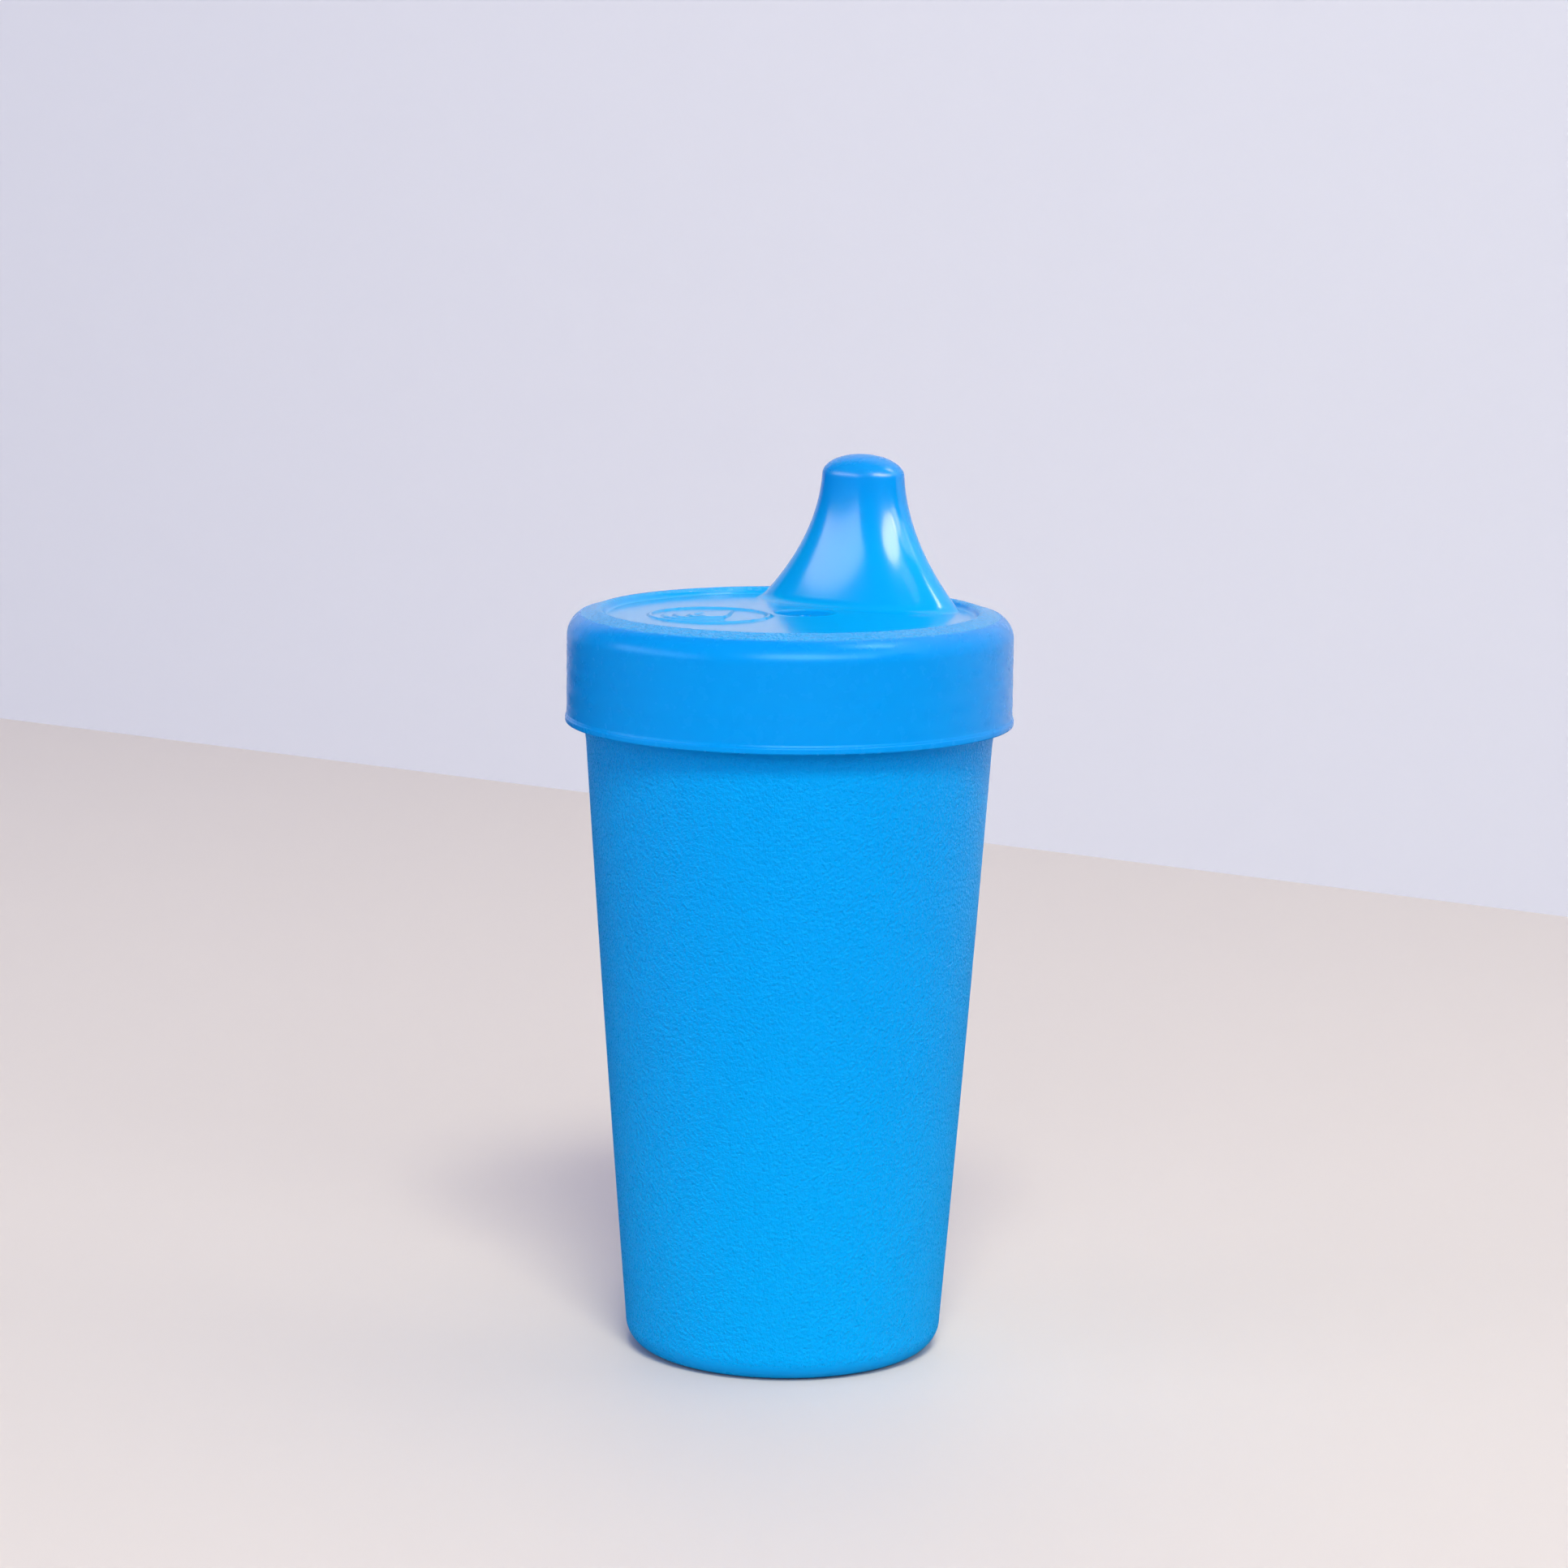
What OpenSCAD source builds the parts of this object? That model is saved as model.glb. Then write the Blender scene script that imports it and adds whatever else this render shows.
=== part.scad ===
// Toddler sippy cup: tapered tumbler, screw-on lid with a hard spout,
// sealing ring and one-piece two-chamber valve.
// Millimetres, +Z up. Origin: centre of the foot, on the surface it stands on.
// The spout stands towards +Y.

/* [Cup] */
// Radius of the flat ring that the cup stands on
foot_r = 23.4; // [22:0.1:25]
// Rounding between the foot and the wall
foot_fillet = 4.7; // [3:0.1:6]
// Outer radius of the wall just above the foot rounding
wall_r0 = 28.1; // [27:0.1:30]
// Taper of the wall, radius gained per millimetre of height
wall_taper = 0.0797; // [0.07:0.001:0.085]
// Barrelling of the wall, radius lost with the square of the height
wall_bow = 0.000064; // [0:0.000001:0.0001]
// Wall thickness of the cup
cup_wall = 1.8; // [1.4:0.1:2.4]
// Floor thickness of the cup
cup_floor = 2.2; // [1.6:0.1:3]
// Outer radius of the threaded neck
neck_r = 35.9; // [35.8:0.05:36]
// Height of the cup's rim
rim_z = 127.4; // [127:0.1:127.4]

/* [Thread] */
// Height that the lid gains in one turn
pitch = 4; // [3.8:0.1:4.2]
// Turns from screwed home to free
turns = 2; // [1.5:0.25:2]
// Radius of the cup thread's crest
cup_crest_r = 37.0; // [36.7:0.05:37]
// Radius of the lid thread's crest
lid_crest_r = 36.35; // [36.3:0.05:36.5]

/* [Lid] */
// Radius of the bead round the bottom of the skirt
lip_r = 39.4; // [39.3:0.1:40]
// Height of the bottom of the skirt
lip_z = 112.4; // [112:0.1:113]
// Outer radius of the skirt
skirt_r = 39.15; // [39:0.05:39.3]
// Inner radius of the skirt
skirt_in_r = 37.3; // [37.3:0.05:37.5]
// Radius of the shoulder rounding
shoulder = 4.5; // [4.3:0.1:4.6]
// Height of the sunk disc on top
disc_z = 131.1; // [131:0.1:131.4]
// Radius of the sunk disc
disc_r = 31.9; // [31:0.1:32.2]
// Height of the ring that stands round the disc
crest_z = 132.3; // [132:0.1:132.6]
// Height of the underside of the top
plate_z = 129.1; // [129:0.1:129.3]

/* [Spout] */
// Distance of the spout's foot from the axis
spout_foot_y = 21.9; // [21.5:0.1:22]
// Distance of the spout's tip from the axis
spout_tip_y = 22.7; // [22:0.1:24]
// Half width of the spout's foot
foot_a = 20.5; // [18:0.1:20.5]
// Half depth of the spout's foot
foot_b = 8.5; // [8:0.1:8.6]
// Half width of the spout's tip
tip_a = 8.1; // [7.5:0.1:8.5]
// Half depth of the spout's tip
tip_b = 5.2; // [5:0.1:6]
// Height of the top of the spout
top_z = 157.9; // [155:0.1:160]
// Rise of the domed top of the spout
tip_dome = 3.8; // [3:0.1:4.2]
// Wall thickness at the tip
tip_wall = 1.9; // [1.6:0.1:2.2]
// Diameter of each of the three drinking holes
hole_d = 1.4; // [1:0.1:1.6]
// Spacing of the drinking holes
hole_gap = 2.2; // [2:0.1:2.4]

/* [Valve posts] */
// Outer radius of the post under the spout
post_r = 7.0; // [6.8:0.1:7]
// Inner radius of the post under the spout
post_bore = 5.5; // [5:0.1:5.6]
// Height of the lower end of the spout's post
post_z = 121.5; // [121:0.1:122.5]
// Distance of the vent from the axis
vent_y = 4.5; // [4:0.1:5]
// Outer radius of the post under the vent
vent_post_r = 5.0; // [4.8:0.1:5.2]
// Inner radius of the post under the vent
vent_bore = 3.5; // [3:0.1:3.6]
// Height of the lower end of the vent's post
vent_z = 122.5; // [122:0.1:123]
// Radius of the shallow dish round the vent hole
dish_r = 5.5; // [5:0.1:6]

/* [Valve] */
// Running clearance of the valve on its posts
valve_gap = 0.06; // [0.03:0.01:0.1]
// Wall thickness of the valve
valve_wall = 1.3; // [1.1:0.1:1.4]
// Floor thickness of the valve
valve_floor = 1.0; // [0.8:0.1:1.2]

/* [Hidden] */
$fn = 96;
blue = [0.02, 0.62, 0.93];
silicone = [0.90, 0.92, 0.93];

// arc of points about (cr, cz)
function arc(cr, cz, r, a0, a1, n) =
    [for (i = [0:n]) let (a = a0 + (a1 - a0) * i / n) [cr + r * cos(a), cz + r * sin(a)]];

// outer radius of the cup's wall at a height
function wall_at(z) = let (h = z - foot_fillet) wall_r0 + wall_taper * h - wall_bow * h * h;
wall_heights = [for (i = [1:9]) foot_fillet + 11.6 * i];

// ---- helical ridge of trapezoid section, tapered away at both ends ----
module ridge(r_root, r_crest, z0, a0, a1, h_root, h_crest) {
    n = round((a1 - a0) / 10);
    pts = [for (i = [0:n]) let (
            a = a0 + (a1 - a0) * i / n,
            z = z0 + pitch * a / 360,
            f = max(0.08, min(1, i / 4, (n - i) / 4)),
            rc = r_root + (r_crest - r_root) * f)
        each [
            [r_root * cos(a), r_root * sin(a), z - h_root / 2],
            [rc * cos(a), rc * sin(a), z - h_crest / 2],
            [rc * cos(a), rc * sin(a), z + h_crest / 2],
            [r_root * cos(a), r_root * sin(a), z + h_root / 2]]];
    side = [for (i = [0:n - 1]) for (k = [0:3]) let (
            p = 4 * i + k, q = 4 * i + (k + 1) % 4, s = p + 4, t = q + 4)
        each [[p, s, t], [p, t, q]]];
    ends = [[0, 1, 2], [0, 2, 3], [4 * n, 4 * n + 2, 4 * n + 1], [4 * n, 4 * n + 3, 4 * n + 2]];
    faces = concat(side, ends);
    // the winding follows the side of the root that the crest is on
    polyhedron(pts, r_crest < r_root ? faces : [for (f = faces) [f[0], f[2], f[1]]]);
}

// ---- stack of oval rings, each [centre_y, z, half_width, half_depth] ----
module loft(rings, n) {
    m = len(rings);
    pts = concat(
        [for (r = rings) for (k = [0:n - 1]) let (a = 360 * k / n)
            [r[2] * cos(a), r[0] + r[3] * sin(a), r[1]]],
        [[0, rings[0][0], rings[0][1]], [0, rings[m - 1][0], rings[m - 1][1]]]);
    side = [for (i = [0:m - 2]) for (k = [0:n - 1]) let (
            p = i * n + k, q = i * n + (k + 1) % n)
        each [[p, p + n, q + n], [p, q + n, q]]];
    low = [for (k = [0:n - 1]) [m * n, k, (k + 1) % n]];
    high = [for (k = [0:n - 1]) [m * n + 1, (m - 1) * n + (k + 1) % n, (m - 1) * n + k]];
    polyhedron(pts, concat(side, low, high));
}

// rings of the spout's outer skin: flared foot, slender neck, domed tip
neck_top = top_z - tip_dome;
function drop_at(z) = min(1, max(0, (neck_top - z) / (neck_top - disc_z)));
function flare(z) = 0.156 * drop_at(z) + 0.844 * pow(drop_at(z), 2.01);
function mid_y(z) = spout_tip_y - (spout_tip_y - spout_foot_y) * flare(z);
skin = concat(
    [for (z = [disc_z - 0.9, disc_z + 0.5, disc_z + 1.8, disc_z + 3.4, disc_z + 5.4, disc_z + 7.8,
               disc_z + 10.6, disc_z + 13.8, disc_z + 17.6, disc_z + 20.6, neck_top])
        [mid_y(z), z, tip_a + (foot_a - tip_a) * flare(z), tip_b + (foot_b - tip_b) * flare(z)]],
    [for (a = [18, 35, 50, 63, 75]) [spout_tip_y, neck_top + tip_dome * sin(a), tip_a * cos(a), tip_b * cos(a)]],
    [[spout_tip_y, top_z, tip_a * 0.06, tip_b * 0.06]]);

// rings of the drinking channel inside the spout, with a domed roof
channel_r = post_bore - 0.3;
channel = concat(
    [for (i = [0:6]) let (t = i / 6, z = plate_z - 1.5 + (neck_top - plate_z + 1.5) * t)
        [mid_y(z), z, channel_r + (tip_a - tip_wall - channel_r) * t, channel_r + (tip_b - tip_wall - channel_r) * t]],
    [[spout_tip_y, neck_top + 1.1, tip_a - tip_wall - 0.9, tip_b - tip_wall - 0.5],
     [spout_tip_y, neck_top + 1.8, tip_a - tip_wall - 2.6, tip_b - tip_wall - 1.5]]);

module cup() {
    outer = concat(
        [[0, 1.0], [20.2, 0.8], [21.4, 0]],
        arc(foot_r, foot_fillet, foot_fillet, -90, 0, 8),
        [for (z = wall_heights) [wall_at(z), z]],
        [[neck_r, 111.2]],
        arc(neck_r - 0.8, rim_z - 0.8, 0.8, 0, 90, 4));
    inner = concat(
        arc(neck_r - cup_wall + 0.8, rim_z - 0.8, 0.8, 90, 180, 4),
        [[neck_r - cup_wall, 112.5]],
        [for (i = [8:-1:0]) [wall_at(wall_heights[i]) - cup_wall, wall_heights[i]]],
        arc(foot_r - 0.9, cup_floor + 3.8, 3.8, 0, -90, 6),
        [[0, cup_floor]]);
    color(blue) union() {
        rotate_extrude() polygon(concat(outer, inner));
        ridge(neck_r - 0.4, cup_crest_r, 115.2, 0, 90 + 360 * turns, 2.2, 0.8);
    }
}

module lid_profile() {
    sr = skirt_r - shoulder;
    polygon(concat(
        [[0, disc_z], [disc_r, disc_z], [disc_r + 0.5, disc_z + 0.2], [disc_r + 1.0, crest_z - 0.25],
         [disc_r + 1.35, crest_z - 0.05], [disc_r + 1.8, crest_z]],
        arc(sr, disc_z - 3.6, shoulder, 58, 0, 8),
        [[skirt_r + 0.05, lip_z + 1.7], [lip_r - 0.1, lip_z + 1.3], [lip_r, lip_z + 0.9], [lip_r, lip_z + 0.3],
         [lip_r - 0.25, lip_z], [skirt_in_r + 0.3, lip_z], [skirt_in_r, lip_z + 0.4],
         [skirt_in_r, plate_z - 0.9], [skirt_in_r - 0.3, plate_z - 0.2], [skirt_in_r - 0.6, plate_z],
         [33.0, plate_z], [33.0, plate_z - 3.3], [32.6, plate_z - 3.9], [31.9, plate_z - 3.9],
         [31.5, plate_z - 3.5], [31.5, plate_z], [0, plate_z]]));
}

module emblem() {
    // raised ring with a water drop and two ripples, 0.35 mm proud of the disc
    translate([-10.8, -9.3, disc_z - 0.3]) {
        difference() { cylinder(r = 10.8, h = 0.65); translate([0, 0, -1]) cylinder(r = 10.0, h = 3); }
        linear_extrude(0.65) union() {
            translate([0, -0.6]) circle(r = 3.6);
            polygon([[-3.05, 0.5], [3.05, 0.5], [0, 7.4]]);
        }
        for (r = [5.6, 7.6]) intersection() {
            difference() { cylinder(r = r + 0.45, h = 0.65); translate([0, 0, -1]) cylinder(r = r - 0.45, h = 3); }
            translate([-8, -9, -1]) cube([16, 6.2, 3]);
        }
    }
}

module lid() {
    color(blue) union() {
        difference() {
            union() {
                rotate_extrude() lid_profile();
                loft(skin, 40);
                translate([0, spout_foot_y, post_z]) cylinder(r = post_r, h = plate_z - post_z + 0.5);
                translate([0, vent_y, vent_z]) cylinder(r = vent_post_r, h = plate_z - vent_z + 0.5);
            }
            // bore of the spout's post and the channel above it
            translate([0, spout_foot_y, post_z - 1]) cylinder(r = post_bore, h = plate_z - post_z + 1);
            loft(channel, 28);
            // row of three drinking holes on the outer side of the tip
            for (x = [-hole_gap, 0, hole_gap]) translate([x, spout_tip_y + 1.5, neck_top]) cylinder(d = hole_d, h = 6, $fn = 32);
            // vent: post bore, pin hole and dish
            translate([0, vent_y, vent_z - 1]) cylinder(r = vent_bore, h = plate_z - vent_z + 1);
            translate([0, vent_y, plate_z - 1]) cylinder(r = 0.8, h = 4);
            translate([0, vent_y, disc_z - 0.5]) cylinder(r1 = dish_r - 0.7, r2 = dish_r, h = 0.51);
        }
        emblem();
        ridge(skirt_in_r + 0.4, lid_crest_r, 115.2 - 1.55, 90, 90 + 360 * turns, 2.2, 0.8);
    }
}

module sealing_ring() {
    color(silicone) rotate_extrude()
        polygon([[33.1, 127.75], [33.4, 127.45], [36.3, 127.45], [36.6, 127.75], [36.6, 128.75], [36.3, 129.05], [33.4, 129.05], [33.1, 128.75]]);
}

// one chamber of the valve: a sleeve over a post, closed by a slit floor
module chamber(y, r, zlow, slit) {
    translate([0, y, 0]) difference() {
        rotate_extrude() polygon([
            [0, zlow], [r + valve_wall - 0.8, zlow], [r + valve_wall, zlow + 0.8],
            [r + valve_wall, 127.4], [r + valve_wall + 0.5, 127.9], [r + valve_wall + 0.5, 128.4], [r, 128.4],
            [r, zlow + valve_floor], [0, zlow + valve_floor]]);
        translate([-slit / 2, -0.15, zlow - 1]) cube([slit, 0.3, valve_floor + 2]);
        translate([-0.15, -slit / 2, zlow - 1]) cube([0.3, slit, valve_floor + 2]);
    }
}

module valve() {
    ra = post_r + valve_gap;
    rb = vent_post_r + valve_gap;
    color(silicone) union() {
        chamber(spout_foot_y, ra, post_z - 0.1 - valve_floor, 7);
        chamber(vent_y, rb, vent_z - 0.1 - valve_floor, 4.5);
        // strap between the two chambers
        difference() {
            translate([-3.5, vent_y + 3, 122.6]) cube([7, spout_foot_y - vent_y - 6, 1.8]);
            translate([0, spout_foot_y, 100]) cylinder(r = ra + valve_wall / 2, h = 40);
            translate([0, vent_y, 100]) cylinder(r = rb + valve_wall / 2, h = 40);
        }
    }
}

cup();
lid();
sealing_ring();
valve();
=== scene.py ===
import math
import bpy
import numpy as np
from mathutils import Matrix, Vector


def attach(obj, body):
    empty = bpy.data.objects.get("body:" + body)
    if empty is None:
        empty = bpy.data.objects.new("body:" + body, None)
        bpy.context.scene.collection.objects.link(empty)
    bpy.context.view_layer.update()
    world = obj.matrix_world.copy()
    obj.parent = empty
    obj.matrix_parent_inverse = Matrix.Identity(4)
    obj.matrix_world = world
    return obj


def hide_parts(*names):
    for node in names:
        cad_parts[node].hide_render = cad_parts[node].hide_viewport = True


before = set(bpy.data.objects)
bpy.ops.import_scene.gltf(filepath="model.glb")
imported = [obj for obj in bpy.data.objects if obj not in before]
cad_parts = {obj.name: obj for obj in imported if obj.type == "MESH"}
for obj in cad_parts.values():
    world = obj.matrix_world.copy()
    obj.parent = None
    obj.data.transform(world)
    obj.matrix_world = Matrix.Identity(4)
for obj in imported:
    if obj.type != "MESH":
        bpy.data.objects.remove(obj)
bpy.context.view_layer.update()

MM = 0.001
TAU = 2 * math.pi

# ---------------------------------------------------------------- sizes, mm
FOOT_R, FOOT_FIL, WALL_R0, TAPER, BOW = 23.4, 4.7, 28.1, 0.0797, 0.000064
CUP_WALL, CUP_FLOOR, NECK_R, RIM_Z = 1.8, 2.2, 35.9, 127.4
PITCH, TURNS, CUP_CREST, LID_CREST = 4.0, 2.0, 37.0, 36.35
LIP_R, LIP_Z, SKIRT_R, SKIRT_IN, SHOULDER = 39.4, 112.4, 39.15, 37.3, 4.5
DISC_Z, DISC_R, CREST_Z, PLATE_Z = 131.1, 31.9, 132.3, 129.1
FOOT_Y, TIP_Y, FOOT_A, FOOT_B, TIP_A, TIP_B = 21.9, 22.7, 20.5, 8.5, 8.1, 5.2
TOP_Z, TIP_DOME, TIP_WALL, HOLE_D, HOLE_GAP = 157.9, 3.8, 1.9, 1.4, 2.2
POST_R, POST_BORE, POST_Z = 7.0, 5.5, 121.5
VENT_Y, VENT_R, VENT_BORE, VENT_Z, DISH_R = 4.5, 5.0, 3.5, 122.5, 5.5
V_GAP, V_WALL, V_FLOOR = 0.06, 1.3, 1.0
EMB = (-10.8, -9.3)


def wall_at(z):
    h = np.asarray(z, float) - FOOT_FIL
    return WALL_R0 + TAPER * h - BOW * h * h


def arc(cr, cz, r, a0, a1, n):
    a = np.radians(np.linspace(a0, a1, n + 1))
    return np.stack([cr + r * np.cos(a), cz + r * np.sin(a)], -1)


def line(p, q, n):
    t = np.linspace(0, 1, n + 1)[:, None]
    return np.asarray(p, float) * (1 - t) + np.asarray(q, float) * t


def chain(*parts):
    """Joins runs of profile points and drops repeats."""
    out = [np.asarray(parts[0][0], float)]
    for part in parts:
        for p in np.asarray(part, float):
            if np.hypot(*(p - out[-1])) > 1e-4:
                out.append(p)
    return np.array(out)


def smooth(x, lo, hi):
    t = np.clip((np.asarray(x, float) - lo) / (hi - lo), 0, 1)
    return t * t * (3 - 2 * t)


def ridge(theta, z, z0, a0, a1, half_root, half_crest):
    """Height from 0 to 1 of a screw ridge that climbs PITCH a turn, at angle theta (degrees) and height z."""
    h = np.zeros(np.broadcast(theta, z).shape)
    for k in range(0, 4):
        a = np.asarray(theta) + 360.0 * k
        zc = z0 + PITCH * a / 360.0
        d = np.abs(z - zc)
        s = np.clip((half_root - d) / (half_root - half_crest), 0, 1)
        s = s * s * (3 - 2 * s) * 0.35 + s * 0.65
        run_in = np.clip((a - a0) / 36.0, 0, 1) * np.clip((a1 - a) / 36.0, 0, 1)
        h = np.maximum(h, s * np.sqrt(run_in))
    return h


# ------------------------------------------------------------ mesh building
def new_object(name, verts_mm, faces):
    me = bpy.data.meshes.new(name)
    me.from_pydata((np.asarray(verts_mm, float) * MM).tolist(), [], faces)
    me.validate()
    me.update()
    ob = bpy.data.objects.new(name, me)
    bpy.context.scene.collection.objects.link(ob)
    return ob


def rings_object(name, rings, start=None, end=None, loop=False):
    """rings: list of (n, 3) arrays in mm. start and end are pole points; loop joins the last ring to the first."""
    n = len(rings[0])
    verts = np.vstack(rings)
    m = len(rings)
    k = np.arange(n)
    kn = (k + 1) % n
    faces = []
    last = m if loop else m - 1
    for i in range(last):
        j = (i + 1) % m
        faces.append(np.stack([i * n + k, i * n + kn, j * n + kn, j * n + k], -1))
    quads = np.vstack(faces)
    extra, tris = [], []
    if start is not None:
        c = len(verts) + len(extra)
        extra.append(start)
        tris += [(c, int(b), int(a)) for a, b in zip(k, kn)]
    if end is not None:
        c = len(verts) + len(extra)
        extra.append(end)
        base = (m - 1) * n
        tris += [(c, int(base + a), int(base + b)) for a, b in zip(k, kn)]
    if extra:
        verts = np.vstack([verts, np.array(extra, float)])
    # outward normals: flip everything if the signed volume is negative
    v0, v1, v2, v3 = (verts[quads[:, i]] for i in range(4))
    vol = np.einsum("ij,ij->i", v0, np.cross(v1, v2)).sum() + np.einsum("ij,ij->i", v0, np.cross(v2, v3)).sum()
    for t in tris:
        a, b, c = (verts[i] for i in t)
        vol += float(np.dot(a, np.cross(b, c)))
    faces = quads.tolist() + [list(t) for t in tris]
    if vol < 0:
        faces = [f[::-1] for f in faces]
    return new_object(name, verts, faces)


def lathe(name, profile, n, cx=0.0, cy=0.0, loop=False):
    """A closed lathe: the profile runs pole to pole on the axis, or round a loop."""
    a = np.arange(n) * TAU / n
    rings, start, end = [], None, None
    for i, (r, z) in enumerate(profile):
        if r < 1e-6 and not loop:
            if i == 0:
                start = (cx, cy, z)
            else:
                end = (cx, cy, z)
            continue
        rings.append(np.stack([cx + r * np.cos(a), cy + r * np.sin(a), np.full(n, z)], -1))
    return rings_object(name, rings, start, end, loop)


def boolean(ob, other, how):
    """ob becomes its union with, or difference from, other, which is removed."""
    mod = ob.modifiers.new("cut", "BOOLEAN")
    mod.operation, mod.solver, mod.object = how, "MANIFOLD", other
    dg = bpy.context.evaluated_depsgraph_get()
    me = bpy.data.meshes.new_from_object(ob.evaluated_get(dg))
    ob.modifiers.clear()
    old = ob.data
    ob.data = me
    bpy.data.meshes.remove(old)
    gone = other.data
    bpy.data.objects.remove(other)
    bpy.data.meshes.remove(gone)
    return ob


def finish_mesh(ob, angle=32.0):
    me = ob.data
    me.polygons.foreach_set("use_smooth", [True] * len(me.polygons))
    me.set_sharp_from_angle(angle=math.radians(angle))
    me.update()
    return ob


# --------------------------------------------------------------------- cup
def build_cup():
    n = 384
    th = np.arange(n) * 360.0 / n
    ca, sa = np.cos(np.radians(th)), np.sin(np.radians(th))
    z_wall = np.linspace(FOOT_FIL, 109.1, 88)
    neck_z = np.concatenate([np.linspace(111.2, 113.6, 7), np.arange(113.8, 126.0, 0.2), [126.3, RIM_Z - 0.8]])
    low = chain(
        line((2.0, 1.0), (19.6, 0.86), 8),
        arc(19.6, 0.36, 0.5, 90, 40, 4),
        arc(21.6, 0.6, 0.6, 215, 270, 4),
        line((21.6, 0.0), (FOOT_R, 0.0), 3),
        arc(FOOT_R, FOOT_FIL, FOOT_FIL, -90, 0, 20),
        np.stack([wall_at(z_wall), z_wall], -1),
        [(float(wall_at(109.1)) + 0.12, 109.9), (NECK_R - 0.02, 111.0)],
    )
    high = chain(
        arc(NECK_R - 0.8, RIM_Z - 0.8, 0.8, 0, 90, 8),
        arc(NECK_R - CUP_WALL + 0.8, RIM_Z - 0.8, 0.8, 90, 180, 8),
        line((NECK_R - CUP_WALL, 126.0), (NECK_R - CUP_WALL, 112.5), 8),
        np.stack([wall_at(z_wall[::-1][::2]) - CUP_WALL, z_wall[::-1][::2]], -1)[1:-3],
        arc(FOOT_R - 0.9, CUP_FLOOR + 3.8, 3.8, 0, -90, 12),
        line((FOOT_R - 1.0, CUP_FLOOR), (2.0, CUP_FLOOR), 8),
    )
    rings = []
    for r, z in low:
        rings.append(np.stack([r * ca, r * sa, np.full(n, z)], -1))
    for z in neck_z:
        h = ridge(th, np.full(n, z), 115.2, 0, 90 + 360 * TURNS, 0.92, 0.42)
        r = NECK_R + (CUP_CREST - 0.02 - NECK_R) * h
        rings.append(np.stack([r * ca, r * sa, np.full(n, z)], -1))
    for r, z in high[1:]:
        rings.append(np.stack([r * ca, r * sa, np.full(n, z)], -1))
    ob = rings_object("cup_shell", rings, (0, 0, 1.0), (0, 0, CUP_FLOOR))
    return finish_mesh(ob, 40)


# --------------------------------------------------------------------- lid
NECK_TOP = TOP_Z - TIP_DOME


def flare(z):
    t = np.clip((NECK_TOP - z) / (NECK_TOP - DISC_Z), 0, 1)
    return 0.156 * t + 0.844 * t ** 2.01


def mid_y(z):
    return TIP_Y - (TIP_Y - FOOT_Y) * float(flare(z))


def drop(x, y, cy, r, tip):
    """Signed distance, negative inside, to a water drop: a circle with two straight sides up to a tip."""
    d = np.hypot(x, y - cy) - r
    s = r / (tip - cy)
    c = math.sqrt(1 - s * s)
    # the straight sides are tangent to the circle and meet at the tip
    side = (np.abs(x) * c + (y - tip) * s)
    top = cy + r * s
    wedge = np.where(y > top, np.maximum(side, y - tip), 1e3)
    return np.minimum(d, wedge)


def relief(x, y):
    """Height in mm that the emblem and the vent dish add to the sunk disc."""
    ex, ey = x - EMB[0], y - EMB[1]
    rr = np.hypot(ex, ey)

    def band(d, half):
        return 1 - smooth(np.abs(d), half - 0.16, half + 0.16)

    h = band(rr - 10.4, 0.42)
    body = drop(ex, ey, -0.4, 3.6, 7.2)
    h = np.maximum(h, 1 - smooth(body, -0.16, 0.16))
    # a small glint cut into the drop
    glint = band(np.hypot(ex - 0.2, ey + 0.5) - 2.1, 0.28) * smooth(-(ex + ey * 0.6), 0.4, 1.0) * smooth(-ey + 0.6, 0, 0.5)
    h = h * (1 - 0.8 * np.where(body < -0.3, glint, 0))
    for r in (5.9, 8.0):
        low = smooth(-(ey + 3.0), 0.0, 0.35) * smooth(6.6 - np.abs(ex), 0.0, 0.35)
        h = np.maximum(h, band(rr - r, 0.42) * low)
    out = 0.33 * h
    vd = np.hypot(x, y - VENT_Y)
    dish = np.clip(1 - (vd / (DISH_R - 0.25)) ** 2, 0, 1)
    out = out - 0.55 * (dish ** 0.8)
    out = out + 0.06 * np.exp(-((vd - DISH_R) / 0.35) ** 2)
    return out


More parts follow.
